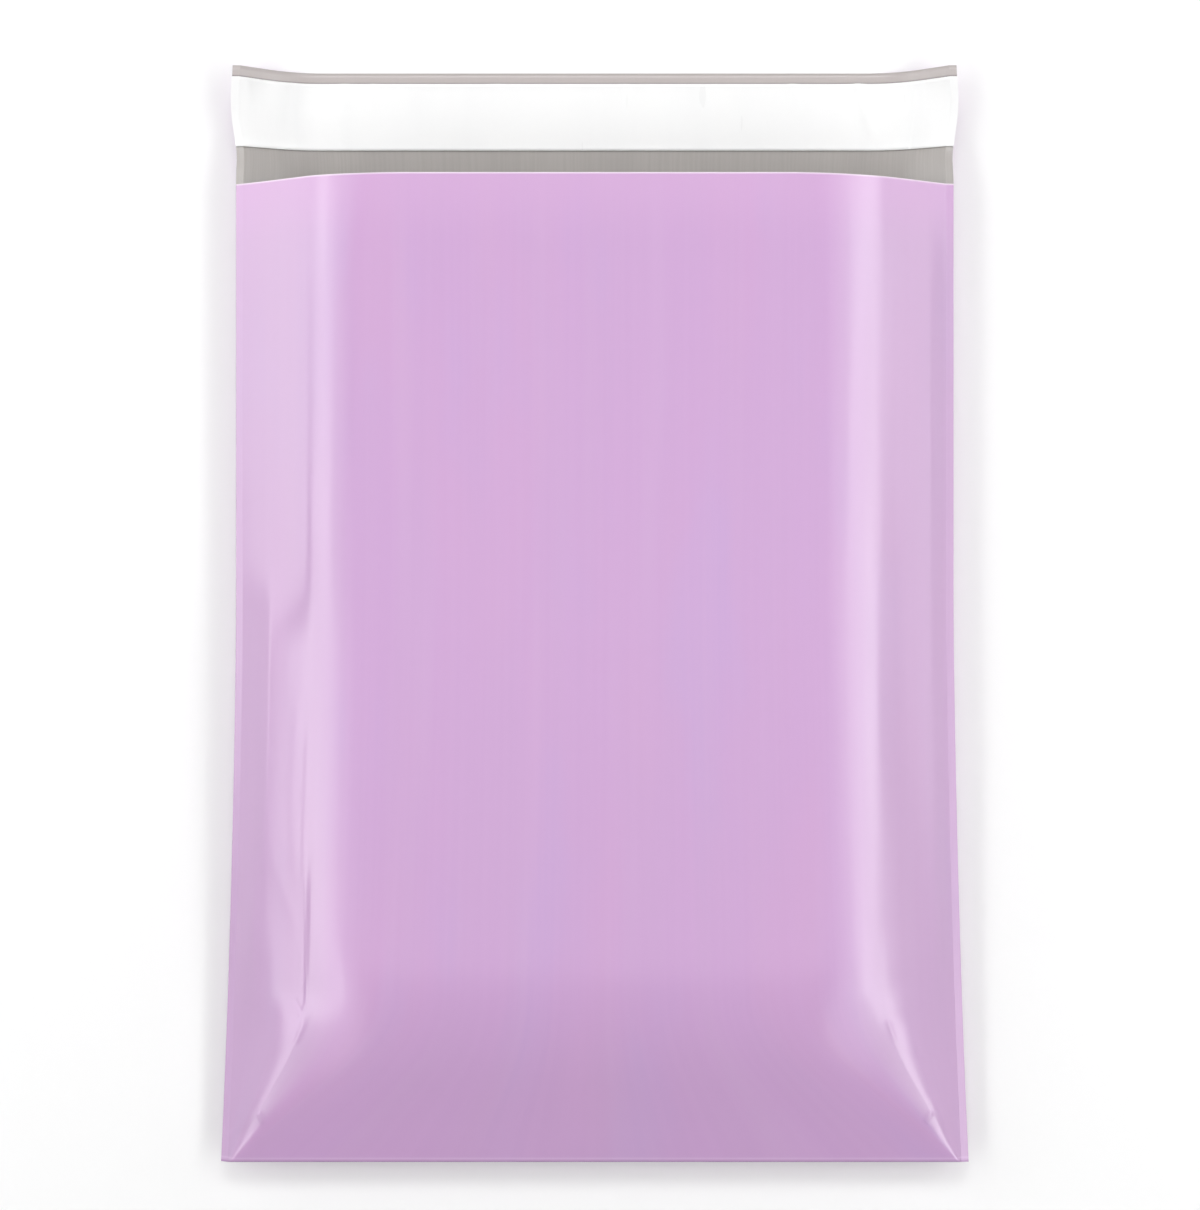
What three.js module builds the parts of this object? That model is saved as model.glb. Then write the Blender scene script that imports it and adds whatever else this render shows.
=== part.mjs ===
// Poly mailer bag, 12 x 15.5 inches with a flap of nearly 2 inches. It lies on its back, its mouth open.
// One sheet of film is folded across the bottom and welded up both sides. The back panel runs on past
// the mouth as the flap, which carries a strip of adhesive under a peel-off liner.
// Millimetres, +Z up. X runs across the bag, +Y from the bottom fold to the flap, and the front panel
// faces up. The origin is below the middle of the whole bag, on the surface that it lies on.
import * as THREE from 'three';

// Film, as cut and folded
const BAG_WIDTH = 305;
const POUCH_LENGTH = 398;
const FLAP_LENGTH = 48;
const FILM_GAUGE = 0.0635;
const WELD_WIDTH = 3;
const FOLD_RADIUS = 1.2;

// Adhesive and liner on the inside of the flap
const LINER_HEIGHT = 27.5;
const LINER_FROM_TOP = 4.4;
const LINER_GAUGE = 0.05;
const ADHESIVE_HEIGHT = 19;
const ADHESIVE_GAUGE = 0.05;

// Outline of the filled bag seen from above: the seams draw in as the pouch fills out
const EDGE_PULL_IN = 6.8;
const PULL_IN_LENGTH = 230;
const PULL_IN_POWER = 1.6;
const FLAP_SPREAD = 2.4;
const FLAP_SPREAD_START = 8;
const FLAP_SPREAD_END = 30;
const FLAP_DRAW_IN = 1.2;
const FLAP_DRAW_IN_START = 34;

// Height of the side seams above the surface
const SEAM_HEIGHT_FOLD = 10;
const SEAM_HEIGHT_MOUTH = 14;
const SEAM_RISE_LENGTH = 200;

// Front panel: a raised field with sloping sides, and a longer slope down to the fold
const FRONT_RISE_FOLD = 21.5;
const FRONT_RISE_MOUTH = 24;
const FRONT_RISE_START = 40;
const FRONT_RISE_END = 230;
const FRONT_SIDE_RUN = 31;
const FRONT_SIDE_RUN_FOLD = 30.5;
const FRONT_CORNER = 58;
const FRONT_CORNER_RUN = 4.4;
const FRONT_BOTTOM_SLOPE = 0.34;
const FRONT_BOTTOM_ROUND = 8;

// Back panel: flat where it lies, with narrow sides that turn up to the seams
const BACK_SIDE_RUN = 20;
const BACK_CORNER = 34;
const BACK_CORNER_RUN = 1.2;
const BACK_BOTTOM_SLOPE = 0.34;
const BACK_BOTTOM_ROUND = 2;

// Sections of a side of the front panel: places and slopes from the weld root inwards, with the slope
// running evenly from one place to the next. A place is a share of the run from the root to the ridge.
const CORNER_LINE = [[0, 0.72], [0.65, 0.7], [0.84, 0.6], [0.94, 0.42], [1, 0.3], [1.03, 0.1], [1.5, 0.04]];
const SIDE_LINE = [[0, 1], [0.13, 0.75], [0.84, 0.64], [1.06, 0.46], [1.22, 0.27], [1.45, 0.12], [1.74, 0]];
const MOUTH_LINE = [[0, 0.15], [0.32, 0.3], [0.58, 0.65], [1.16, 0.62], [1.42, 0.3], [1.94, 0.08]];
// Past this place the panel is level
const SIDE_END = 2.13;
// How far past its corner the panel takes its full section, and how far the slack of the mouth reaches
const CORNER_FADE = 40;
const MOUTH_SLACK_LENGTH = 48;
// How softly the back panel turns over its ridge, as a share of the side slope
const BACK_ROUND = 0.55;

// Flap edges: turned up at the seam, lower beside the liner, and curled up at the free corners
const FLAP_DIP = 8;
const FLAP_DIP_AT = 19;
const FLAP_CORNER_CURL = 14;

// Facets
const SIDE_PLACES = [0.13, 0.5, 0.84, 0.94, 1.02, 1.2, 1.5];
const STEPS_IN_FIELD = 3;
const CORNER_ZONE = 72;
const STEPS_AT_CORNER = 8;
const STEPS_TO_SLACK = 9;
const STEPS_IN_SLACK = 3;

const { clamp, lerp, smoothstep } = THREE.MathUtils;

function smoothMin(a, b, round) {
  const near = Math.max(round - Math.abs(a - b), 0) / round;
  return Math.min(a, b) - (near * near * round) / 4;
}

// Outline and seam

function halfWidth(y) {
  const left = clamp(1 - y / PULL_IN_LENGTH, 0, 1);
  return BAG_WIDTH / 2 - EDGE_PULL_IN * (1 - left ** PULL_IN_POWER);
}

function weldRoot(y) {
  return halfWidth(y) - WELD_WIDTH;
}

function seamHeight(y) {
  return lerp(SEAM_HEIGHT_FOLD, SEAM_HEIGHT_MOUTH, smoothstep(y, 0, SEAM_RISE_LENGTH));
}

// Each panel is a raised field. Its ridge runs beside the seam and turns out to the bottom corner.

const front = {
  side: 1,
  run: (y) => lerp(FRONT_SIDE_RUN_FOLD, FRONT_SIDE_RUN, smoothstep(y, FRONT_CORNER, PULL_IN_LENGTH)),
  corner: FRONT_CORNER,
  cornerRun: FRONT_CORNER_RUN,
  rise: (y) => lerp(FRONT_RISE_FOLD, FRONT_RISE_MOUTH, smoothstep(y, FRONT_RISE_START, FRONT_RISE_END)),
  slope: FRONT_BOTTOM_SLOPE,
  round: FRONT_BOTTOM_ROUND,
};

const back = {
  side: -1,
  run: () => BACK_SIDE_RUN,
  corner: BACK_CORNER,
  cornerRun: BACK_CORNER_RUN,
  rise: (y) => seamHeight(y) - FILM_GAUGE,
  slope: BACK_BOTTOM_SLOPE,
  round: BACK_BOTTOM_ROUND,
};

function ridgeRun(panel, y) {
  return lerp(panel.cornerRun, panel.run(y), clamp(y / panel.corner, 0, 1));
}

function foldHeight(y) {
  const past = clamp(1 - y / FOLD_RADIUS, 0, 1);
  return FOLD_RADIUS * Math.sqrt(1 - past * past);
}

function fieldHeight(panel, y) {
  const cap = panel.rise(y);
  const climb = foldHeight(y) + panel.slope * y;
  return smoothMin(climb, cap, panel.round);
}

function climb(share, line) {
  let height = 0;
  line.forEach(([start, slope], k) => {
    const [end, nextSlope] = line[k + 1] ?? [SIDE_END, 0];
    const run = clamp(share, start, end) - start;
    height += run * (slope + ((nextSlope - slope) * run) / (end - start) / 2);
  });
  return height;
}

function climbShare(share, line) {
  return climb(share, line) / climb(SIDE_END, line);
}

function frontShape(share, y) {
  const fromCorner = smoothstep(y, FRONT_CORNER, FRONT_CORNER + CORNER_FADE);
  const upright = lerp(climbShare(share, CORNER_LINE), climbShare(share, SIDE_LINE), fromCorner);
  const slack = smoothstep(y, POUCH_LENGTH - MOUTH_SLACK_LENGTH, POUCH_LENGTH);
  return lerp(upright, climbShare(share, MOUTH_LINE), slack);
}

function backShape(share) {
  return smoothMin(share, 1, BACK_ROUND);
}

// A column of the sheet is a number from -3 to 3: 0 on the centre line, 1 where the side meets the level
// field, 2 at the root of the weld and 3 on its cut edge.

function columnX(column, run, y) {
  const place = Math.abs(column);
  const root = weldRoot(y);
  const side = run * SIDE_END;
  let x = root + WELD_WIDTH * (place - 2);
  if (place <= 1) x = (root - side) * place;
  else if (place <= 2) x = root - side * (2 - place);
  return Math.sign(column) * x;
}

function sheetColumns() {
  const half = [];
  for (let i = 1; i <= STEPS_IN_FIELD; i += 1) half.push(i / STEPS_IN_FIELD);
  for (const share of [...SIDE_PLACES].reverse()) half.push(2 - share / SIDE_END);
  half.push(2, 3);
  return [...half.map((c) => -c).reverse(), 0, ...half];
}

function pouchStations() {
  const ys = [0, FOLD_RADIUS * (1 - Math.SQRT1_2), FOLD_RADIUS];
  const slackStart = POUCH_LENGTH - MOUTH_SLACK_LENGTH;
  const addSteps = (from, to, count) => {
    for (let i = 1; i <= count; i += 1) ys.push(lerp(from, to, i / count));
  };
  addSteps(FOLD_RADIUS, CORNER_ZONE, STEPS_AT_CORNER);
  addSteps(CORNER_ZONE, slackStart, STEPS_TO_SLACK);
  addSteps(slackStart, POUCH_LENGTH, STEPS_IN_SLACK);
  return ys;
}

function panelPoint(panel, column, y) {
  const run = ridgeRun(panel, y);
  const x = columnX(column, run, y);
  const share = Math.max(weldRoot(y) - Math.abs(x), 0) / run;
  const shape = panel === front ? frontShape(share, y) : backShape(share);
  const height = y === 0 ? 0 : FILM_GAUGE + fieldHeight(panel, y) * shape;
  return new THREE.Vector3(x, y, seamHeight(y) + panel.side * height);
}

// The flap

const LINER_TOP = FLAP_LENGTH - LINER_FROM_TOP;
const LINER_BOTTOM = LINER_TOP - LINER_HEIGHT;
const ADHESIVE_MARGIN = (LINER_HEIGHT - ADHESIVE_HEIGHT) / 2;
const ADHESIVE_TOP = LINER_TOP - ADHESIVE_MARGIN;
const ADHESIVE_BOTTOM = LINER_BOTTOM + ADHESIVE_MARGIN;

function flapStations() {
  const middle = (ADHESIVE_BOTTOM + ADHESIVE_TOP) / 2;
  const low = [LINER_BOTTOM / 3, (2 * LINER_BOTTOM) / 3];
  return [...low, LINER_BOTTOM, ADHESIVE_BOTTOM, middle, ADHESIVE_TOP, LINER_TOP, FLAP_LENGTH];
}

function flapEdgeHeight(v) {
  const atSeam = SEAM_HEIGHT_MOUTH - FILM_GAUGE;
  const settled = lerp(atSeam, FLAP_DIP, smoothstep(v, 0, FLAP_DIP_AT));
  return lerp(settled, FLAP_CORNER_CURL, smoothstep(v, FLAP_DIP_AT, FLAP_LENGTH));
}

function flapHalfWidth(v) {
  const spread = FLAP_SPREAD * smoothstep(v, FLAP_SPREAD_START, FLAP_SPREAD_END);
  const drawIn = FLAP_DRAW_IN * smoothstep(v, FLAP_DRAW_IN_START, FLAP_LENGTH);
  return halfWidth(POUCH_LENGTH) + spread - drawIn;
}

function flapPoint(column, v) {
  const y = POUCH_LENGTH;
  const x = columnX(column, BACK_SIDE_RUN, y);
  const share = Math.max(weldRoot(y) - Math.abs(x), 0) / BACK_SIDE_RUN;
  const widening = flapHalfWidth(v) / halfWidth(y);
  return new THREE.Vector3(x * widening, y + v, flapEdgeHeight(v) * (1 - backShape(share)));
}

// The lattice of the sheet's outside face, from the front mouth edge round the fold to the flap's end

const columns = sheetColumns();
const ys = pouchStations();
const flapSteps = flapStations();
const lastY = ys.length - 1;
const FOLD_ROW = lastY;
const MOUTH_ROW = 2 * lastY;
const LEFT_ROOT = 1;
const RIGHT_ROOT = columns.length - 2;

const outside = [
  ...ys.map((_, j) => columns.map((c) => panelPoint(front, c, ys[lastY - j]))),
  ...ys.slice(1).map((y) => columns.map((c) => panelPoint(back, c, y))),
  ...flapSteps.map((v) => columns.map((c) => flapPoint(c, v))),
];

function inwardNormal(rows, j, i) {
  const row = rows[j];
  const across = row[Math.min(i + 1, row.length - 1)].clone().sub(row[Math.max(i - 1, 0)]);
  const along = rows[Math.min(j + 1, rows.length - 1)][i].clone().sub(rows[Math.max(j - 1, 0)][i]);
  return across.cross(along).normalize();
}

const normals = outside.map((row, j) => row.map((_, i) => inwardNormal(outside, j, i)));

function raised(j, i, height) {
  return outside[j][i].clone().addScaledVector(normals[j][i], height);
}

function insidePoint(j, i) {
  const inPouch = j <= MOUTH_ROW;
  const inWeld = i <= LEFT_ROOT || i >= RIGHT_ROOT;
  const point = raised(j, i, FILM_GAUGE);
  if (j === 0 || j === MOUTH_ROW) point.y = outside[j][i].y;
  if (!inPouch || !inWeld) return point;
  const y = j === FOLD_ROW ? FILM_GAUGE : outside[j][i].y;
  return new THREE.Vector3(outside[j][i].x, y, seamHeight(outside[j][i].y));
}

const inside = outside.map((row, j) => row.map((_, i) => insidePoint(j, i)));

// Meshes are gathered as triangles on shared points

class FacetedSolid {
  constructor() {
    this.points = [];
    this.index = [];
    this.numbers = new Map();
  }

  number(point) {
    const key = [point.x, point.y, point.z].map((v) => v.toFixed(6)).join();
    if (!this.numbers.has(key)) {
      this.numbers.set(key, this.numbers.size);
      this.points.push(point.x, point.y, point.z);
    }
    return this.numbers.get(key);
  }

  triangle(a, b, c) {
    const corners = [a, b, c].map((p) => this.number(p));
    if (new Set(corners).size === 3) this.index.push(...corners);
  }

  quad(a, b, c, d) {
    this.triangle(a, b, c);
    this.triangle(a, c, d);
  }

  geometry() {
    const made = new THREE.BufferGeometry();
    made.setAttribute('position', new THREE.Float32BufferAttribute(this.points, 3));
    made.setIndex(this.index);
    made.computeVertexNormals();
    return made;
  }
}

function addFace(solid, rows, from, to, left, right, flipped) {
  for (let j = from; j < to; j += 1) {
    for (let i = left; i < right; i += 1) {
      const [a, b, c, d] = [rows[j][i], rows[j + 1][i], rows[j + 1][i + 1], rows[j][i + 1]];
      if (flipped) solid.quad(a, d, c, b);
      else solid.quad(a, b, c, d);
    }
  }
}

function addRim(solid, first, second) {
  for (let i = 0; i < first.length - 1; i += 1) {
    solid.quad(first[i], first[i + 1], second[i + 1], second[i]);
  }
}

function bagFilm() {
  const solid = new FacetedSolid();
  const last = columns.length - 1;
  const end = outside.length - 1;
  addFace(solid, outside, 0, end, 0, last, false);
  addFace(solid, inside, 0, MOUTH_ROW, LEFT_ROOT, RIGHT_ROOT, true);
  addFace(solid, inside, MOUTH_ROW, end, 0, last, true);
  // Cut edges: the mouth, the flap's end, and the two sides, where both layers are one
  addRim(solid, outside[0], inside[0]);
  addRim(solid, inside[end], outside[end]);
  for (const [i, flipped] of [[0, true], [last, false]]) {
    const quads = [[inside[0][i], outside[0][i], outside[1][i], outside[MOUTH_ROW - 1][i]]];
    quads.push([inside[0][i], outside[MOUTH_ROW - 1][i], outside[MOUTH_ROW][i], outside[MOUTH_ROW][i]]);
    for (let j = 1; j < FOLD_ROW; j += 1) {
      const under = MOUTH_ROW - j;
      quads.push([outside[under][i], outside[j][i], outside[j + 1][i], outside[under - 1][i]]);
    }
    for (let j = MOUTH_ROW; j < end; j += 1) {
      quads.push([inside[j][i], outside[j][i], outside[j + 1][i], inside[j + 1][i]]);
    }
    for (const quad of quads) {
      if (flipped) quad.reverse();
      solid.quad(...quad);
    }
  }
  return solid.geometry();
}

// A strip lies on the inside of the flap, between two rows and two columns of the same lattice

function flapStrip(fromV, toV, left, right, bottom, top) {
  const from = MOUTH_ROW + 1 + flapSteps.indexOf(fromV);
  const to = MOUTH_ROW + 1 + flapSteps.indexOf(toV);
  const layer = (height) => outside.slice(from, to + 1).map((row, j) => (
    row.slice(left, right + 1).map((_, i) => raised(from + j, left + i, height))
  ));
  const under = layer(bottom);
  const over = layer(top);
  const side = (rows, i) => rows.map((row) => row[i]);
  const solid = new FacetedSolid();
  addFace(solid, under, 0, to - from, 0, right - left, false);
  addFace(solid, over, 0, to - from, 0, right - left, true);
  addRim(solid, under[0], over[0]);
  addRim(solid, over[to - from], under[to - from]);
  addRim(solid, side(over, 0), side(under, 0));
  addRim(solid, side(under, right - left), side(over, right - left));
  return solid.geometry();
}

function adhesiveStrip() {
  const top = FILM_GAUGE + ADHESIVE_GAUGE;
  return flapStrip(ADHESIVE_BOTTOM, ADHESIVE_TOP, LEFT_ROOT, RIGHT_ROOT, FILM_GAUGE, top);
}

function releaseLiner() {
  const bottom = FILM_GAUGE + ADHESIVE_GAUGE;
  return flapStrip(LINER_BOTTOM, LINER_TOP, 0, columns.length - 1, bottom, bottom + LINER_GAUGE);
}

const lilacFilm = new THREE.MeshStandardMaterial({ color: 0xd2add6, roughness: 0.3, metalness: 0 });
const clearAdhesive = new THREE.MeshStandardMaterial({ color: 0xe9e4d4, roughness: 0.35, metalness: 0 });
const whiteLiner = new THREE.MeshStandardMaterial({ color: 0xfafafa, roughness: 0.4, metalness: 0 });

function piece(name, geometry, material) {
  const mesh = new THREE.Mesh(geometry, material);
  mesh.name = name;
  mesh.position.y = -(POUCH_LENGTH + FLAP_LENGTH) / 2;
  return mesh;
}

const mailer = new THREE.Group();
mailer.add(piece('bag_film', bagFilm(), lilacFilm));
mailer.add(piece('adhesive_strip', adhesiveStrip(), clearAdhesive));
mailer.add(piece('release_liner', releaseLiner(), whiteLiner));

export default mailer;
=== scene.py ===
import math

import bmesh
import bpy
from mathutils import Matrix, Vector


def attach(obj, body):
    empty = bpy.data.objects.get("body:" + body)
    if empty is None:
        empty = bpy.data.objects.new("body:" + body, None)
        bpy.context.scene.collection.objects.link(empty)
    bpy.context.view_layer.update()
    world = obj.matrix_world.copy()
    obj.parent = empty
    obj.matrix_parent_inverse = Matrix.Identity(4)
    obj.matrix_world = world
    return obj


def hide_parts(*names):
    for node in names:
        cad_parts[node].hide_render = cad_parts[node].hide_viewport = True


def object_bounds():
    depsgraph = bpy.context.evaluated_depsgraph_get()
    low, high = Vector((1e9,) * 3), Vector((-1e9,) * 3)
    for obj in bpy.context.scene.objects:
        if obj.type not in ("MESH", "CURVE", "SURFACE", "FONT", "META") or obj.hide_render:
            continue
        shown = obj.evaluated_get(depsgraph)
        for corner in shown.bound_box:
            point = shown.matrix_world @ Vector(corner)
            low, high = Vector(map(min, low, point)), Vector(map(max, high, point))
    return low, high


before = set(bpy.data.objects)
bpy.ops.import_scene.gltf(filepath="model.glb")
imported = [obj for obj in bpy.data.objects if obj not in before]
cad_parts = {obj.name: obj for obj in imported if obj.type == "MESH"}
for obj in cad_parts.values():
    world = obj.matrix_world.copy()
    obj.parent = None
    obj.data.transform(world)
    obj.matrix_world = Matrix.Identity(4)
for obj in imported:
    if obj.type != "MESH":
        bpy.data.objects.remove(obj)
cad_low, cad_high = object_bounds()

MM = 0.001

# Film, as cut and folded
BAG_WIDTH = cad_high.x - cad_low.x
FLAP_LENGTH = 48 * MM
POUCH_LENGTH = cad_high.y - cad_low.y - FLAP_LENGTH
FILM_GAUGE = 0.0635 * MM
WELD_WIDTH = 3 * MM
FOLD_RADIUS = 1.2 * MM
FOLD_Y = cad_low.y
MOUTH_Y = FOLD_Y + POUCH_LENGTH

# Adhesive and liner on the inside of the flap
LINER_HEIGHT = 27.5 * MM
LINER_FROM_TOP = 4.4 * MM
LINER_GAUGE = 0.05 * MM
LINER_LIFT = 0.45 * MM
ADHESIVE_HEIGHT = 19 * MM
ADHESIVE_GAUGE = 0.05 * MM

# Outline of the filled bag seen from above
EDGE_PULL_IN = 6.8 * MM
PULL_IN_LENGTH = 230 * MM
PULL_IN_POWER = 1.6
FLAP_SPREAD = 2.4 * MM
FLAP_SPREAD_START = 8 * MM
FLAP_SPREAD_END = 30 * MM
FLAP_DRAW_IN = 1.2 * MM
FLAP_DRAW_IN_START = 34 * MM

# Height of the side seams above the surface
SEAM_HEIGHT_FOLD = 10 * MM
SEAM_HEIGHT_MOUTH = 14 * MM
SEAM_RISE_LENGTH = 200 * MM

# Front panel
FRONT_RISE_FOLD = 21.5 * MM
FRONT_RISE_MOUTH = 24 * MM
FRONT_RISE_START = 40 * MM
FRONT_RISE_END = 230 * MM
FRONT_SIDE_RUN = 31 * MM
FRONT_SIDE_RUN_FOLD = 30.5 * MM
FRONT_CORNER = 56 * MM
FRONT_CORNER_RUN = 0.6 * MM
FRONT_BOTTOM_SLOPE = 0.34
FRONT_BOTTOM_ROUND = 8 * MM
FRONT_CORNER_ROUND = 15 * MM
FRONT_CORNER_ROUND_START = 84 * MM
FRONT_CORNER_ROUND_END = 116 * MM
FRONT_RIDGE_BEND = 9 * MM

# The welds hang down a little towards their cut edges
LEFT_WELD_FALL = 0.5
RIGHT_WELD_FALL = 0.1
WELD_FALL_FADE = 12 * MM

# Back panel
BACK_SIDE_RUN = 20 * MM
BACK_CORNER = 34 * MM
BACK_CORNER_RUN = 1.2 * MM
BACK_BOTTOM_SLOPE = 0.34
BACK_BOTTOM_ROUND = 2 * MM
BACK_ROUND = 0.55

# Flap edges
FLAP_DIP = 8 * MM
FLAP_DIP_AT = 19 * MM
FLAP_CORNER_CURL = 14 * MM

# The view: the photograph's middle, and the scale of its pixels at the height of the seams
PHOTO_HEIGHT = 1210
PIXEL = 0.4067 * MM
SEAM_PLANE = 12 * MM
CAMERA_HEIGHT = 912 * MM
CAMERA_X = 2.2 * MM
CAMERA_Y = 4 * MM
CAMERA_CLIP = 10 * MM
SENSOR = 36

# The floor, and where its shaded part fades out, measured from the middle
FLOOR_HALF = 6000 * MM
FLOOR_FADE_START = 300 * MM
FLOOR_FADE_END = 600 * MM

# Lattice of the sheets. Rows lie closer together near the bottom corners and at the mouth's edge.
CORNER_ZONE = 72 * MM
FRONT_ROWS_CORNER = 84
FRONT_ROWS = 80
BACK_ROWS_CORNER = 18
BACK_ROWS = 20
FLAP_ROWS = 24
LINER_ROWS = 20
ADHESIVE_ROWS = 6
EDGE_STEP = 0.4 * MM
FOLD_STEPS = (0, 0.1, 0.3, 0.6, 1)
COLUMNS_IN_FIELD = 10
COLUMNS_IN_WELD = (0.04, 0.5, 0.96, 1)
LINER_STEP = 0.9 * MM

# Steps along and across the flap that are small enough to find which way it faces
TINY = 0.01 * MM
TINY_COLUMN = 0.001


def clamp(value, low, high):
    return max(low, min(high, value))


def lerp(a, b, share):
    return a + (b - a) * share


def smoothstep(value, low, high):
    share = clamp((value - low) / (high - low), 0, 1)
    return share * share * (3 - 2 * share)


def spread(low, high, count):
    return [lerp(low, high, i / count) for i in range(1, count + 1)]


def smooth_min(a, b, radius):
    near = max(radius - abs(a - b), 0) / radius
    return min(a, b) - near * near * radius / 4


# Outline and seams


def half_width(y):
    left = clamp(1 - y / PULL_IN_LENGTH, 0, 1)
    return BAG_WIDTH / 2 - EDGE_PULL_IN * (1 - left**PULL_IN_POWER)


def weld_root(y):
    return half_width(y) - WELD_WIDTH


def seam_height(y):
    return lerp(SEAM_HEIGHT_FOLD, SEAM_HEIGHT_MOUTH, smoothstep(y, 0, SEAM_RISE_LENGTH))


def fold_height(y):
    past = clamp(1 - y / FOLD_RADIUS, 0, 1)
    return FOLD_RADIUS * math.sqrt(1 - past * past)


def front_run(y):
    upright = lerp(FRONT_SIDE_RUN_FOLD, FRONT_SIDE_RUN, smoothstep(y, FRONT_CORNER, PULL_IN_LENGTH))
    ridge = lerp(FRONT_CORNER_RUN, FRONT_SIDE_RUN_FOLD, y / FRONT_CORNER)
    return smooth_min(ridge, upright, FRONT_RIDGE_BEND)


def back_run(y):
    return lerp(BACK_CORNER_RUN, BACK_SIDE_RUN, clamp(y / BACK_CORNER, 0, 1))


def front_rise(x, y):
    cap = lerp(FRONT_RISE_FOLD, FRONT_RISE_MOUTH, smoothstep(y, FRONT_RISE_START, FRONT_RISE_END))
    to_corner = smoothstep(abs(x), FRONT_CORNER_ROUND_START, FRONT_CORNER_ROUND_END)
    rounding = lerp(FRONT_BOTTOM_ROUND, FRONT_CORNER_ROUND, to_corner)
    return smooth_min(fold_height(y) + FRONT_BOTTOM_SLOPE * y, cap, rounding)


def back_drop(y):
    ramp = fold_height(y) + BACK_BOTTOM_SLOPE * y
    return smooth_min(ramp, seam_height(y) - FILM_GAUGE, BACK_BOTTOM_ROUND)


# A side of the front panel climbs from the weld root. A section of it is a list of places and slopes, with
# the slope running evenly from one place to the next. Places are millimetres from the root on a side whose
# run is the reference, and they stretch with the run. From the end on the panel is level.
SIDE_REFERENCE = 31
SIDE_END = 66

# Sections across the ridges that run out to the bottom corners
CORNER_LINE = [(0, 0.86), (20, 0.84), (23, 0.52), (31, 0.27), (31.6, 0.16), (38, 0.12), (48, 0.05)]
CORNER_END = [(0, 0.80), (22, 0.76), (33, 0.34), (42, 0.16), (54, 0.04)]

# Sections of both sides from the fold to the mouth, each with its distance from the fold. Low on the left
# a narrow step runs down beside a crease, and on the right a valley runs along the weld.
STEP = [(30, 0.36), (30.5, 0.47), (32.1, 0.46), (32.7, 0.36)]
LEFT_SECTIONS = [
    (8 * MM, CORNER_END),
    (22 * MM, CORNER_LINE),
    (48 * MM, CORNER_LINE),
    (74 * MM, [(0, 1.1), (8, 1.05), (12, 0.56), (18, 0.40), *STEP, (38, 0.33), (45, 0.22), (54, 0.07)]),
    (100 * MM, [(0, 1.2), (7, 1.15), (10, 0.50), (15, 0.39), *STEP, (37, 0.33), (44, 0.24), (54, 0.10)]),
    (135 * MM, [(0, 1.1), (11, 1.06), (13.5, 0.42), (19, 0.37), (36, 0.34), (43, 0.24), (53, 0.09), (62, 0)]),
    (205 * MM, [(0, 1.1), (12, 1.04), (13.5, 0.44), (21, 0.38), (34, 0.34), (41, 0.25), (53, 0.09), (62, 0)]),
    (250 * MM, [(0, 0.80), (10, 0.74), (27, 0.58), (30, 0.42), (32, 0.36), (38, 0.26), (46, 0.14), (56, 0)]),
    (350 * MM, [(0, 0.66), (10, 0.66), (27, 0.60), (30, 0.42), (32, 0.36), (38, 0.27), (46, 0.15), (56, 0)]),
    (398 * MM, [(0, 0.5), (14, 0.6), (27, 0.6), (30, 0.42), (33, 0.36), (38, 0.27), (50, 0.16), (60, 0.1)]),
]
VALLEY = [(0, 0.7), (2, 1.1), (6, 1.05), (9, 0.56)]
RIGHT_SECTIONS = [
    (8 * MM, CORNER_END),
    (22 * MM, CORNER_LINE),
    (48 * MM, CORNER_LINE),
    (63 * MM, [(0, 0.9), (7, 0.95), (12, 0.75), (25, 0.48), (30, 0.37), (34, 0.30), (38, 0.18), (48, 0.06)]),
    (77 * MM, [(0, 0.9), (6, 1.0), (9, 0.65), (28, 0.43), (31, 0.37), (36, 0.31), (43, 0.16), (54, 0.02)]),
    (100 * MM, [*VALLEY, (30, 0.43), (34, 0.36), (41, 0.29), (49, 0.14), (57, 0)]),
    (170 * MM, [*VALLEY, (29, 0.44), (33, 0.36), (41, 0.29), (50, 0.14), (58, 0)]),
    (250 * MM, [*VALLEY, (28, 0.44), (33, 0.36), (42, 0.29), (51, 0.16), (60, 0)]),
    (350 * MM, [*VALLEY, (28, 0.45), (34, 0.36), (42, 0.29), (52, 0.16), (62, 0)]),
    (398 * MM, [(0, 0.6), (14, 0.64), (25, 0.56), (29, 0.44), (34, 0.36), (42, 0.29), (51, 0.18), (60, 0.1)]),
]

# Small creases of the front panel: the points of each as (x, y) in millimetres with y from the fold, its
# half width and its height. One with a height under 0 is pressed in. Past the reach, in half widths, there
# is nothing of it.
CREASE_REACH = 3
CREASES = [
    ([(-115.6, 118), (-115.6, 90), (-115.4, 72)], 0.45, 0.03),
    ([(-115.4, 72), (-115.8, 67), (-118.4, 62.6)], 0.45, 0.09),
    ([(-119.8, 68.5), (-117.4, 64.5)], 0.6, -0.10),
    ([(-114.0, 175), (-115.3, 145), (-116.0, 120)], 1.2, 0.06),
    ([(-118.5, 185), (-120.5, 150), (-119.5, 122)], 1.5, 0.07),
    ([(-129.0, 125), (-124.0, 112), (-119.5, 98)], 1.6, 0.07),
    ([(-116.4, 59.0), (-119.6, 52.0)], 1.1, 0.20),
    ([(-135.6, 21.2), (-134.2, 18.0)], 0.65, 0.36),
    ([(-139.0, 21.0), (-149.0, 10.8)], 1.3, 0.10),
    ([(117.6, 60.0), (120.0, 53.5)], 1.1, 0.18),
    ([(135.8, 21.6), (134.2, 18.2)], 0.65, 0.36),
    ([(136.4, 26.0), (149.8, 10.0)], 1.3, 0.10),
]


def climb(place, section):
    height = 0
    for (start, slope), (end, next_slope) in zip(section, section[1:] + [(SIDE_END, 0)]):
        run = clamp(place, start, end) - start
        height += run * (slope + (next_slope - slope) * run / (end - start) / 2)
    return height


def climb_share(place, section):
    return climb(place, section) / climb(SIDE_END, section)


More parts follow.
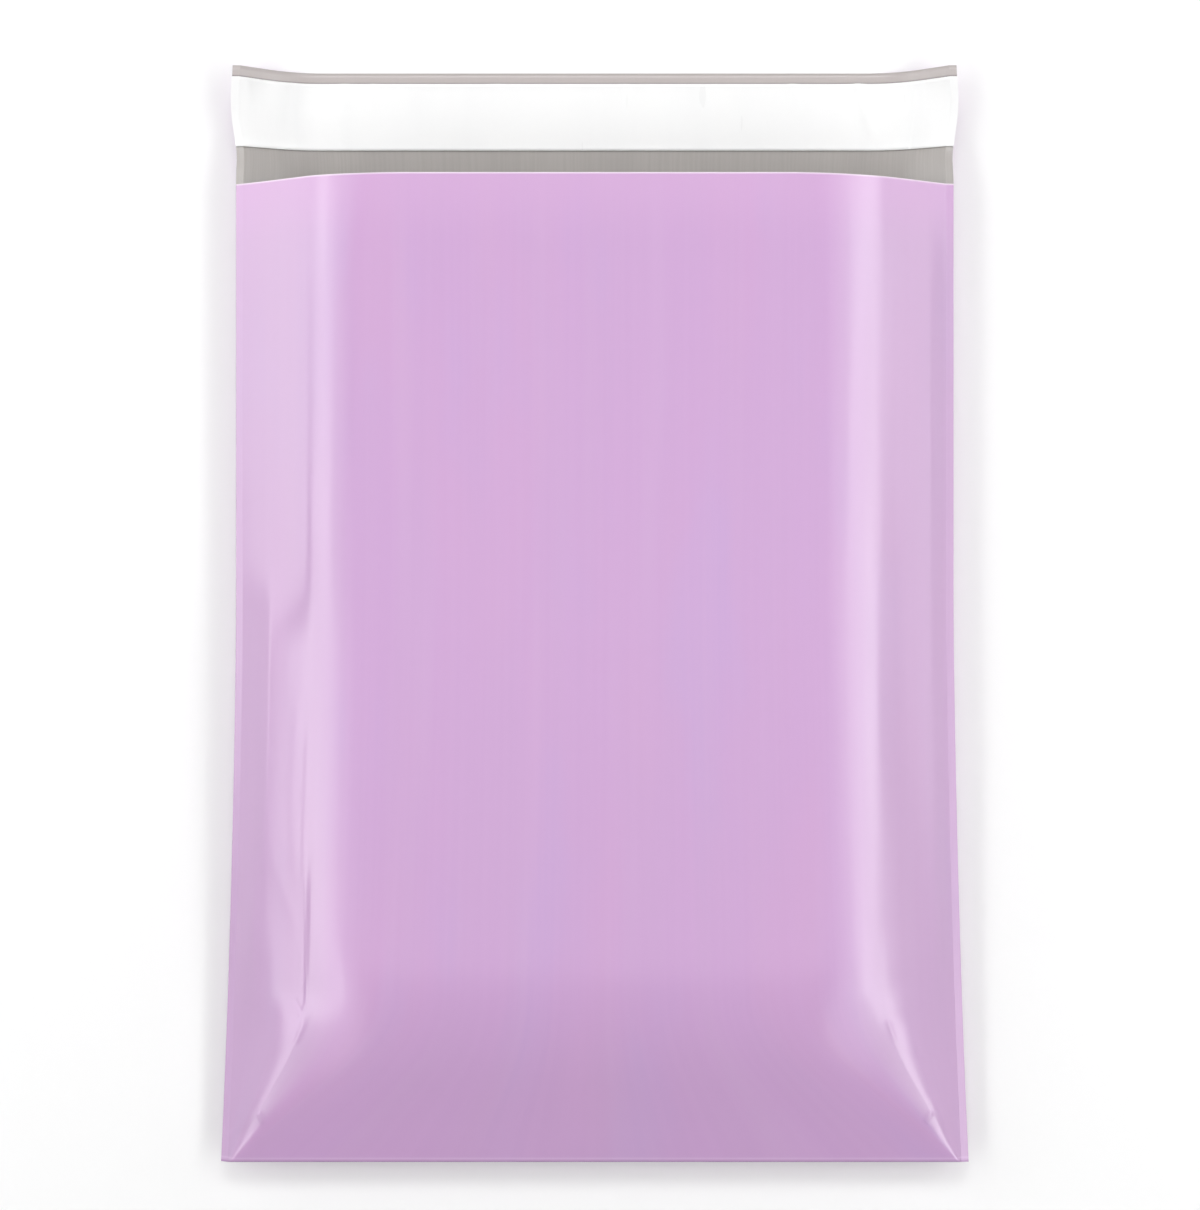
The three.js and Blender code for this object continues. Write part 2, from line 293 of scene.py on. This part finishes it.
def section_share(place, y, sections):
    below = sections[0]
    if y <= below[0]:
        return climb_share(place, below[1])
    for above in sections[1:]:
        if y <= above[0]:
            low = climb_share(place, below[1])
            high = climb_share(place, above[1])
            return lerp(low, high, smoothstep(y, below[0], above[0]))
        below = above
    return climb_share(place, below[1])


def front_shape(x, y):
    place = max(weld_root(y) - abs(x), 0) / front_run(y) * SIDE_REFERENCE
    return section_share(place, y, RIGHT_SECTIONS if x > 0 else LEFT_SECTIONS)


def distance_to_line(x, y, points):
    nearest = math.inf
    for (ax, ay), (bx, by) in zip(points, points[1:]):
        length_squared = (bx - ax) ** 2 + (by - ay) ** 2
        share = clamp(((x - ax) * (bx - ax) + (y - ay) * (by - ay)) / length_squared, 0, 1)
        nearest = min(nearest, math.hypot(x - lerp(ax, bx, share), y - lerp(ay, by, share)))
    return nearest


def crease_height(x, y):
    height = 0
    for points, half_width_mm, rise in CREASES:
        away = distance_to_line(x / MM, y / MM, points) / half_width_mm
        if away < CREASE_REACH:
            height += rise * MM * math.exp(-away * away)
    return height


def back_shape(share):
    return smooth_min(share, 1, BACK_ROUND)


# Columns of the sheet: 0 on the centre line, 1 where a side ends on the level field, 2 at the weld root
# and 3 on the cut edge. Across a side, each entry is a place and the step between columns up to it.
LEFT_STEPS = [(0.24, 0.12), (12, 1.6), (17, 0.5), (27.4, 1.2), (32.4, 0.25), (42, 0.6), (SIDE_END, 2)]
RIGHT_STEPS = [(0.24, 0.12), (22, 1.6), (34, 0.45), (46, 0.8), (SIDE_END, 2)]


def side_columns(steps):
    places = [0]
    for end, step in steps:
        count = math.ceil((end - places[-1]) / step)
        places += spread(places[-1], end, count)
    weld = [2 + share for share in reversed(COLUMNS_IN_WELD)]
    field = [i / COLUMNS_IN_FIELD for i in range(COLUMNS_IN_FIELD - 1, 0, -1)]
    return weld + [2 - place / SIDE_END for place in places] + field


def sheet_columns():
    left = [-column for column in side_columns(LEFT_STEPS)]
    return left + [0.0] + side_columns(RIGHT_STEPS)[::-1]


def column_x(column, run, y):
    place = abs(column)
    root = weld_root(y)
    side = run * SIDE_END / SIDE_REFERENCE
    if place <= 1:
        x = (root - side) * place
    elif place <= 2:
        x = root - side * (2 - place)
    else:
        x = root + WELD_WIDTH * (place - 2)
    return math.copysign(x, column)


def sheet_rows():
    """Distances along the sheet from the front mouth edge, round the fold, to the flap's end."""
    fold = [FOLD_RADIUS * share for share in FOLD_STEPS]
    front = fold + spread(FOLD_RADIUS, CORNER_ZONE, FRONT_ROWS_CORNER)
    front += spread(CORNER_ZONE, POUCH_LENGTH - EDGE_STEP, FRONT_ROWS) + [POUCH_LENGTH]
    back = fold + spread(FOLD_RADIUS, CORNER_ZONE, BACK_ROWS_CORNER)
    back += spread(CORNER_ZONE, POUCH_LENGTH, BACK_ROWS)
    rows = [POUCH_LENGTH - y for y in reversed(front)]
    rows += [POUCH_LENGTH + y for y in back[1:]]
    rows += [2 * POUCH_LENGTH + v for v in spread(0, FLAP_LENGTH, FLAP_ROWS)]
    return rows


def weld_drop(column):
    fall = RIGHT_WELD_FALL if column > 0 else LEFT_WELD_FALL
    return fall * WELD_WIDTH * max(abs(column) - 2, 0)


def front_point(column, y):
    x = column_x(column, front_run(y), y)
    height = 0 if y == 0 else FILM_GAUGE + front_rise(x, y) * front_shape(x, y) + crease_height(x, y)
    return Vector((x, FOLD_Y + y, seam_height(y) + height - weld_drop(column)))


def back_point(column, y):
    run = back_run(y)
    x = column_x(column, run, y)
    share = max(weld_root(y) - abs(x), 0) / run
    height = 0 if y == 0 else FILM_GAUGE + back_drop(y) * back_shape(share)
    return Vector((x, FOLD_Y + y, seam_height(y) - height - weld_drop(column)))


def flap_edge_height(v):
    settled = lerp(SEAM_HEIGHT_MOUTH - FILM_GAUGE, FLAP_DIP, smoothstep(v, 0, FLAP_DIP_AT))
    return lerp(settled, FLAP_CORNER_CURL, smoothstep(v, FLAP_DIP_AT, FLAP_LENGTH))


def flap_half_width(v):
    widening = FLAP_SPREAD * smoothstep(v, FLAP_SPREAD_START, FLAP_SPREAD_END)
    draw_in = FLAP_DRAW_IN * smoothstep(v, FLAP_DRAW_IN_START, FLAP_LENGTH)
    return half_width(POUCH_LENGTH) + widening - draw_in


def flap_point(column, v):
    x = column_x(column, BACK_SIDE_RUN, POUCH_LENGTH)
    share = max(weld_root(POUCH_LENGTH) - abs(x), 0) / BACK_SIDE_RUN
    x *= flap_half_width(v) / half_width(POUCH_LENGTH)
    height = flap_edge_height(v) * (1 - back_shape(share))
    drop = weld_drop(column) * (1 - smoothstep(v, 0, WELD_FALL_FADE))
    return Vector((x, MOUTH_Y + v, height - drop))


def sheet_point(column, along):
    if along <= POUCH_LENGTH:
        return front_point(column, POUCH_LENGTH - along)
    if along <= 2 * POUCH_LENGTH:
        return back_point(column, along - POUCH_LENGTH)
    return flap_point(column, along - 2 * POUCH_LENGTH)


# What lies on the flap, at a height over its lower face

LINER_TOP = FLAP_LENGTH - LINER_FROM_TOP
LINER_BOTTOM = LINER_TOP - LINER_HEIGHT
ADHESIVE_TOP = LINER_TOP - (LINER_HEIGHT - ADHESIVE_HEIGHT) / 2
ADHESIVE_BOTTOM = LINER_BOTTOM + (LINER_HEIGHT - ADHESIVE_HEIGHT) / 2


def over_flap(column, v, height):
    across = flap_point(column + TINY_COLUMN, v) - flap_point(column - TINY_COLUMN, v)
    along = flap_point(column, v + TINY) - flap_point(column, v - TINY)
    return flap_point(column, v) + across.cross(along).normalized() * height


# Wrinkles of the liner: x at its top edge and x at its lower edge, half width and height in millimetres,
# and the share of its height where the wrinkle ends. It starts to fade at a part of that.
WRINKLE_FADE = 0.2
LINER_WRINKLES = [
    (-141.5, -140.0, 1.8, 0.35, 0.5),
    (-124.5, -124.0, 1.4, 0.25, 0.5),
    (-103.0, -104.0, 2.6, 0.35, 0.6),
    (-91.5, -92.5, 1.8, 0.30, 0.6),
    (-40.0, -38.0, 3.0, 0.25, 0.6),
    (12.0, 15.0, 2.4, 0.20, 0.8),
    (81.5, 82.5, 2.2, 0.50, 0.6),
    (108.5, 116.0, 2.6, 0.95, 1.0),
]


def liner_wrinkle(x, v):
    down = (LINER_TOP - v) / LINER_HEIGHT
    height = 0
    for top_x, low_x, half_width_mm, rise, reach in LINER_WRINKLES:
        away = (x / MM - lerp(top_x, low_x, down)) / half_width_mm
        height += rise * MM * math.exp(-away * away) * (1 - smoothstep(down, WRINKLE_FADE * reach, reach))
    return height


def liner_point(column, v):
    free = max(ADHESIVE_BOTTOM - v, v - ADHESIVE_TOP, 0) / (ADHESIVE_BOTTOM - LINER_BOTTOM)
    lift = LINER_LIFT * free * free
    wrinkle = liner_wrinkle(flap_point(column, v).x, v)
    return over_flap(column, v, FILM_GAUGE + ADHESIVE_GAUGE + LINER_GAUGE + lift + wrinkle)


def liner_columns():
    """The sheet's columns, and others at even steps that are close enough for the wrinkles."""
    level = weld_root(POUCH_LENGTH) - BACK_SIDE_RUN * SIDE_END / SIDE_REFERENCE
    field = [0.0] + spread(0, 1, math.ceil(level / LINER_STEP))
    side = spread(1, 3, math.ceil((half_width(POUCH_LENGTH) - level) / LINER_STEP))
    half = field + side
    return sorted({*sheet_columns(), *half, *(-column for column in half)})


def adhesive_point(column, v):
    return over_flap(column, v, FILM_GAUGE + ADHESIVE_GAUGE)


def sheet_mesh(name, columns, rows, place, turned=False):
    """A grid whose points go where place says, with a UV map of the flat sheet in metres."""
    made = bmesh.new()
    flat = made.loops.layers.uv.new("flat")
    across, along = len(columns) - 1, len(rows) - 1
    bmesh.ops.create_grid(made, x_segments=across, y_segments=along, size=1)
    grid = {}
    for vert in made.verts:
        grid[vert] = (round((vert.co.x + 1) / 2 * across), round((vert.co.y + 1) / 2 * along))
    for face in made.faces:
        face.smooth = True
        for loop in face.loops:
            i, j = grid[loop.vert]
            loop[flat].uv = (column_x(columns[i], FRONT_SIDE_RUN, POUCH_LENGTH), rows[j])
    for vert, (i, j) in grid.items():
        vert.co = place(columns[i], rows[j])
    if turned:
        bmesh.ops.reverse_faces(made, faces=made.faces)
    mesh = bpy.data.meshes.new(name)
    made.to_mesh(mesh)
    made.free()
    piece = bpy.data.objects.new(name, mesh)
    bpy.context.collection.objects.link(piece)
    return piece


def thicken(piece, gauge, inside_slot=0):
    wall = piece.modifiers.new("gauge", "SOLIDIFY")
    wall.thickness = gauge
    wall.offset = -1
    wall.use_even_offset = False
    wall.material_offset = inside_slot
    wall.material_offset_rim = inside_slot


# Materials


def srgb(red, green, blue):
    def linear(value):
        value /= 255
        return value / 12.92 if value <= 0.04045 else ((value + 0.055) / 1.055) ** 2.4

    return linear(red), linear(green), linear(blue)


def new_group(name, inputs, outputs):
    """A shader node group. Inputs are (label, value), outputs are labels, and all of them hold numbers."""
    group = bpy.data.node_groups.new(name, "ShaderNodeTree")
    group.interface.new_socket("Place", in_out="INPUT", socket_type="NodeSocketVector")
    for label, value in inputs:
        socket = group.interface.new_socket(label, in_out="INPUT", socket_type="NodeSocketFloat")
        socket.default_value = value
    for label in outputs:
        group.interface.new_socket(label, in_out="OUTPUT", socket_type="NodeSocketFloat")
    return group, group.nodes.new("NodeGroupInput"), group.nodes.new("NodeGroupOutput")


def make_drawn_streaks():
    """Long soft streaks, as a film takes them on when it is drawn from the die. Place is on the flat
    sheet, Across and Along are streaks to a metre, and Shift picks other streaks."""
    inputs = [("Across", 100), ("Along", 5), ("Shift", 0), ("From", 0.35), ("To", 0.65)]
    group, given, made = new_group("drawn streaks", inputs, ["Streak"])
    nodes, links = group.nodes, group.links
    stretch = nodes.new("ShaderNodeCombineXYZ")
    shift = nodes.new("ShaderNodeCombineXYZ")
    place = nodes.new("ShaderNodeVectorMath")
    place.operation = "MULTIPLY_ADD"
    noise = nodes.new("ShaderNodeTexNoise")
    noise.inputs["Scale"].default_value = 1
    noise.inputs["Detail"].default_value = 2
    level = nodes.new("ShaderNodeMapRange")
    level.interpolation_type = "SMOOTHSTEP"
    links.new(given.outputs["Across"], stretch.inputs["X"])
    links.new(given.outputs["Along"], stretch.inputs["Y"])
    links.new(given.outputs["Shift"], shift.inputs["Z"])
    links.new(given.outputs["Place"], place.inputs[0])
    links.new(stretch.outputs[0], place.inputs[1])
    links.new(shift.outputs[0], place.inputs[2])
    links.new(place.outputs[0], noise.inputs["Vector"])
    links.new(noise.outputs["Fac"], level.inputs["Value"])
    links.new(given.outputs["From"], level.inputs["From Min"])
    links.new(given.outputs["To"], level.inputs["From Max"])
    links.new(level.outputs[0], made.inputs["Streak"])
    return group


DRAWN_STREAKS = make_drawn_streaks()


class SheetMaterial:
    """A plastic sheet. Its pattern lies on the UV map of the flat sheet."""

    def __init__(self, name, colour, roughness, gloss):
        self.material = bpy.data.materials.new(name)
        self.material.use_nodes = True
        self.nodes = self.material.node_tree.nodes
        self.links = self.material.node_tree.links
        self.shader = self.nodes["Principled BSDF"]
        self.shader.inputs["Roughness"].default_value = roughness
        self.shader.inputs["Specular IOR Level"].default_value = gloss
        self.flat = self.nodes.new("ShaderNodeUVMap")
        self.flat.uv_map = "flat"
        self.colour = self.nodes.new("ShaderNodeRGB")
        self.colour.outputs[0].default_value = (*colour, 1)
        self.last_colour = self.colour.outputs[0]
        self.links.new(self.last_colour, self.shader.inputs["Base Color"])

    def streaks(self, across, along, shift, start=0.35, end=0.65):
        node = self.nodes.new("ShaderNodeGroup")
        node.node_tree = DRAWN_STREAKS
        self.links.new(self.flat.outputs[0], node.inputs["Place"])
        values = {"Across": across, "Along": along, "Shift": shift, "From": start, "To": end}
        for label, value in values.items():
            node.inputs[label].default_value = value
        return node.outputs["Streak"]

    def scaled(self, mask, low, high):
        node = self.nodes.new("ShaderNodeMapRange")
        node.inputs["To Min"].default_value = low
        node.inputs["To Max"].default_value = high
        self.links.new(mask, node.inputs["Value"])
        return node.outputs[0]

    def tint(self, mask, colour, amount):
        """Lay a colour over what is there, where the mask is 1 and by this amount."""
        node = self.nodes.new("ShaderNodeMix")
        node.data_type = "RGBA"
        self.links.new(self.scaled(mask, 0, amount), node.inputs["Factor"])
        self.links.new(self.last_colour, node.inputs["A"])
        node.inputs["B"].default_value = (*colour, 1)
        self.last_colour = node.outputs["Result"]
        self.links.new(self.last_colour, self.shader.inputs["Base Color"])

    def vary_roughness(self, mask, low, high):
        self.links.new(self.scaled(mask, low, high), self.shader.inputs["Roughness"])

    def ripple(self, mask, height):
        bump = self.nodes.new("ShaderNodeBump")
        bump.inputs["Distance"].default_value = height
        self.links.new(mask, bump.inputs["Height"])
        self.links.new(bump.outputs[0], self.shader.inputs["Normal"])

    def rise(self, place, start, end):
        """A mask that rises from 0 to 1 between two places."""
        node = self.nodes.new("ShaderNodeMapRange")
        node.interpolation_type = "SMOOTHSTEP"
        node.inputs["From Min"].default_value = start
        node.inputs["From Max"].default_value = end
        self.links.new(place, node.inputs["Value"])
        return node.outputs[0]

    def line(self, place, centre, half_width):
        """A mask that is 1 on a line and fades out to both sides of it."""
        away = self.nodes.new("ShaderNodeMath")
        away.operation = "SUBTRACT"
        away.inputs[1].default_value = centre
        self.links.new(place, away.inputs[0])
        size = self.nodes.new("ShaderNodeMath")
        size.operation = "ABSOLUTE"
        self.links.new(away.outputs[0], size.inputs[0])
        return self.rise(size.outputs[0], half_width, 0)

    def distance_along(self):
        apart = self.nodes.new("ShaderNodeSeparateXYZ")
        self.links.new(self.flat.outputs[0], apart.inputs[0])
        return apart.outputs["Y"]

    def distance_from_middle(self):
        apart = self.nodes.new("ShaderNodeSeparateXYZ")
        self.links.new(self.flat.outputs[0], apart.inputs[0])
        size = self.nodes.new("ShaderNodeMath")
        size.operation = "ABSOLUTE"
        self.links.new(apart.outputs["X"], size.inputs[0])
        return size.outputs[0]


# On the lilac film: where a painted sheen lies on the side faces, measured from the middle, the zone of
# painted light at the mouth, the blur of the welds' roots, and the half widths of the painted highlight line
# on its cut edge and of the painted highlight and painted shade lines on its fold
SIDE_SHEEN_START = 92 * MM
SIDE_SHEEN_END = 112 * MM
MOUTH_PAINTED_LIGHT = 30 * MM
WELD_BLUR = 0.6 * MM
CUT_EDGE_HIGHLIGHT = 0.9 * MM
FOLD_HIGHLIGHT_LINE = 0.7 * MM
FOLD_HIGHLIGHT_FROM_FOLD = 1.9 * MM
FOLD_SHADE_LINE = 0.8 * MM
FOLD_SHADE_FROM_FOLD = 0.4 * MM

# On the grey film: the zone of painted light on the flap's free end, measured from the mouth, and the half
# width of the painted shade line above the liner
FLAP_PAINTED_LIGHT_START = 30 * MM
FLAP_PAINTED_LIGHT_END = 42 * MM
LINER_EDGE_SHADE = 0.9 * MM


def lilac_film():
    film = SheetMaterial("lilac film", srgb(199, 157, 205), 0.2, 0.8)
    film.tint(film.streaks(28, 5, 0, 0.45, 0.70), srgb(207, 158, 203), 0.30)
    film.tint(film.streaks(34, 8, 7, 0.50, 0.72), srgb(190, 160, 211), 0.30)
    film.tint(film.streaks(60, 3, 13, 0.50, 0.75), srgb(206, 170, 210), 0.20)
    film.tint(film.streaks(420, 4, 3), srgb(203, 161, 208), 0.22)
    from_middle = film.distance_from_middle()
    # Painted sheen: a paler, greyer lilac on the side faces, where the side lamps' glossy highlights lie
    film.tint(film.rise(from_middle, SIDE_SHEEN_START, SIDE_SHEEN_END), srgb(199, 170, 202), 0.5)
    root = weld_root(POUCH_LENGTH)
    film.tint(film.rise(from_middle, root - WELD_BLUR, root + WELD_BLUR), srgb(211, 181, 217), 0.12)
    along = film.distance_along()
    # Painted light: a paler pink towards the mouth, for light coming through the film from the open mouth
    film.tint(film.rise(along, MOUTH_PAINTED_LIGHT, 0), srgb(210, 166, 212), 0.6)
    # Painted highlight: a near-white line along the mouth's cut edge, where the edge catches the light
    film.tint(film.line(along, 0, CUT_EDGE_HIGHLIGHT), srgb(246, 232, 246), 0.9)
    # Painted highlight and painted shade on the fold: a pale line where its roll catches the light, and a
    # dark line nearer the fold where it turns away from the light
    pale = film.line(along, POUCH_LENGTH - FOLD_HIGHLIGHT_FROM_FOLD, FOLD_HIGHLIGHT_LINE)
    film.tint(pale, srgb(217, 184, 221), 0.5)
    dark = film.line(along, POUCH_LENGTH - FOLD_SHADE_FROM_FOLD, FOLD_SHADE_LINE)
    film.tint(dark, srgb(160, 118, 170), 0.6)
    film.vary_roughness(film.streaks(90, 6, 5), 0.17, 0.25)
    film.ripple(film.streaks(110, 9, 11, 0.2, 0.8), 0.02 * MM)
    return film.material


def grey_film():
    film = SheetMaterial("grey film", srgb(174, 169, 166), 0.3, 0.6)
    film.tint(film.streaks(900, 20, 2), srgb(164, 159, 155), 0.5)
    film.tint(film.streaks(60, 14, 4, 0.3, 0.8), srgb(158, 153, 151), 0.4)
    along = film.distance_along()
    flap_start = 2 * POUCH_LENGTH
    # Painted light: the flap's free end is paler, for light coming through the thin film
    light_through_flap = film.rise(along, flap_start + FLAP_PAINTED_LIGHT_START, flap_start + FLAP_PAINTED_LIGHT_END)
    film.tint(light_through_flap, srgb(193, 184, 183), 0.7)
    # Painted shade: a dark line on the grey film along the liner's top edge
    film.tint(film.line(along, flap_start + LINER_TOP, LINER_EDGE_SHADE), srgb(120, 113, 112), 0.8)
    film.vary_roughness(film.streaks(240, 10, 6, 0.2, 0.8), 0.28, 0.38)
    film.ripple(film.streaks(300, 30, 8, 0.2, 0.8), 0.01 * MM)
    return film.material


def white_liner():
    film = SheetMaterial("white liner", srgb(251, 251, 251), 0.3, 0.5)
    film.tint(film.streaks(70, 10, 1, 0.35, 0.85), srgb(240, 240, 241), 0.4)
    film.vary_roughness(film.streaks(160, 18, 9, 0.2, 0.8), 0.27, 0.35)
    film.ripple(film.streaks(130, 25, 12, 0.2, 0.8), 0.02 * MM)
    return film.material


def clear_adhesive():
    coat = SheetMaterial("adhesive", srgb(233, 228, 212), 0.35, 0.5)
    coat.tint(coat.streaks(60, 40, 14), srgb(222, 214, 194), 0.6)
    coat.vary_roughness(coat.streaks(200, 150, 15), 0.3, 0.5)
    coat.ripple(coat.streaks(250, 180, 16, 0.2, 0.8), 0.02 * MM)
    return coat.material


bag = sheet_mesh("bag", sheet_columns(), sheet_rows(), sheet_point, turned=True)
bag.data.materials.append(lilac_film())
bag.data.materials.append(grey_film())
thicken(bag, FILM_GAUGE, inside_slot=1)
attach(bag, "root")
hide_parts("bag_film")

liner_rows = [LINER_BOTTOM] + spread(LINER_BOTTOM, LINER_TOP, LINER_ROWS)
liner = sheet_mesh("liner", liner_columns(), liner_rows, liner_point)
liner.data.materials.append(white_liner())
thicken(liner, LINER_GAUGE)
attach(liner, "root")
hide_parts("release_liner")

inner_columns = [column for column in sheet_columns() if abs(column) <= 2]
adhesive_rows = [ADHESIVE_BOTTOM] + spread(ADHESIVE_BOTTOM, ADHESIVE_TOP, ADHESIVE_ROWS)
adhesive = sheet_mesh("adhesive", inner_columns, adhesive_rows, adhesive_point)
adhesive.data.materials.append(clear_adhesive())
thicken(adhesive, ADHESIVE_GAUGE)
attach(adhesive, "root")
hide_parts("adhesive_strip")


# Stage, lights and camera


def make_floor():
    """A white table that takes the shadow. Far out the camera sees it as plain white."""
    made = bmesh.new()
    bmesh.ops.create_grid(made, x_segments=1, y_segments=1, size=FLOOR_HALF)
    mesh = bpy.data.meshes.new("floor")
    made.to_mesh(mesh)
    made.free()
    floor = bpy.data.objects.new("floor", mesh)
    bpy.context.collection.objects.link(floor)
    material = bpy.data.materials.new("white floor")
    material.use_nodes = True
    nodes, links = material.node_tree.nodes, material.node_tree.links
    shader = nodes["Principled BSDF"]
    shader.inputs["Base Color"].default_value = (0.95, 0.95, 0.95, 1)
    shader.inputs["Roughness"].default_value = 0.6
    place = nodes.new("ShaderNodeTexCoord")
    away = nodes.new("ShaderNodeVectorMath")
    away.operation = "LENGTH"
    far = nodes.new("ShaderNodeMapRange")
    far.interpolation_type = "SMOOTHSTEP"
    far.inputs["From Min"].default_value = FLOOR_FADE_START
    far.inputs["From Max"].default_value = FLOOR_FADE_END
    path = nodes.new("ShaderNodeLightPath")
    seen = nodes.new("ShaderNodeMath")
    seen.operation = "MULTIPLY"
    white = nodes.new("ShaderNodeEmission")
    mix = nodes.new("ShaderNodeMixShader")
    links.new(place.outputs["Object"], away.inputs[0])
    links.new(away.outputs["Value"], far.inputs["Value"])
    links.new(far.outputs[0], seen.inputs[0])
    links.new(path.outputs["Is Camera Ray"], seen.inputs[1])
    links.new(seen.outputs[0], mix.inputs[0])
    links.new(shader.outputs[0], mix.inputs[1])
    links.new(white.outputs[0], mix.inputs[2])
    links.new(mix.outputs[0], nodes["Material Output"].inputs["Surface"])
    mesh.materials.append(material)


# Softboxes that face the middle of the bag: azimuth seen from above and angle from the zenith, in degrees,
# length and height in metres, and radiance
BOX_DISTANCE = 1100 * MM
TOP_BOX_DISTANCE = 3000 * MM
OVERHEAD_BOX_DISTANCE = 1500 * MM
SOFTBOXES = [
    ("left box", 188, 44, BOX_DISTANCE, 1.9, 0.24, 3.2),
    ("left edge box", 188, 33, BOX_DISTANCE, 1.9, 0.24, 1.0),
    ("low left box", 152, 70, BOX_DISTANCE, 1.5, 0.5, 1.9),
    ("right box", -8, 46, BOX_DISTANCE, 1.9, 0.24, 3.8),
    ("right edge box", -8, 34, BOX_DISTANCE, 1.9, 0.28, 1.3),
    ("low right box", 26, 70, BOX_DISTANCE, 1.5, 0.5, 1.05),
    ("overhead box", 90, 0, OVERHEAD_BOX_DISTANCE, 1.3, 1.25, 0.6),
    ("top box", 90, 45, TOP_BOX_DISTANCE, 1.6, 0.8, 6.5),
]


def make_softbox(name, azimuth, tilt, distance, length, height, radiance):
    lamp = bpy.data.lights.new(name, "AREA")
    lamp.shape = "RECTANGLE"
    lamp.size = length
    lamp.size_y = height
    lamp.energy = radiance * math.pi * length * height
    holder = bpy.data.objects.new(name, lamp)
    a, t = math.radians(azimuth), math.radians(tilt)
    place = Vector((math.cos(a) * math.sin(t), math.sin(a) * math.sin(t), math.cos(t))) * distance
    holder.location = place
    holder.rotation_mode = "QUATERNION"
    holder.rotation_quaternion = (-place).to_track_quat("-Z", "Y")
    bpy.context.collection.objects.link(holder)


def make_world():
    world = bpy.data.worlds.new("studio")
    bpy.context.scene.world = world
    world.use_nodes = True
    nodes, links = world.node_tree.nodes, world.node_tree.links
    background = nodes["Background"]
    background.inputs["Color"].default_value = (1, 1, 1, 1)
    path = nodes.new("ShaderNodeLightPath")
    seen = path.outputs["Is Camera Ray"]
    for ray in ("Is Glossy Ray", "Is Transmission Ray"):
        either = nodes.new("ShaderNodeMath")
        either.operation = "MAXIMUM"
        links.new(seen, either.inputs[0])
        links.new(path.outputs[ray], either.inputs[1])
        seen = either.outputs[0]
    links.new(seen, background.inputs["Strength"])


def make_camera():
    data = bpy.data.cameras.new("camera")
    data.sensor_width = SENSOR
    view_length = PHOTO_HEIGHT * PIXEL / (CAMERA_HEIGHT - SEAM_PLANE)
    data.lens = SENSOR / view_length
    data.clip_start = CAMERA_CLIP
    camera = bpy.data.objects.new("camera", data)
    camera.location = (CAMERA_X, CAMERA_Y, CAMERA_HEIGHT)
    bpy.context.collection.objects.link(camera)
    bpy.context.scene.camera = camera


make_floor()
make_world()
for softbox in SOFTBOXES:
    make_softbox(*softbox)
make_camera()

bpy.context.scene.view_settings.view_transform = "Standard"
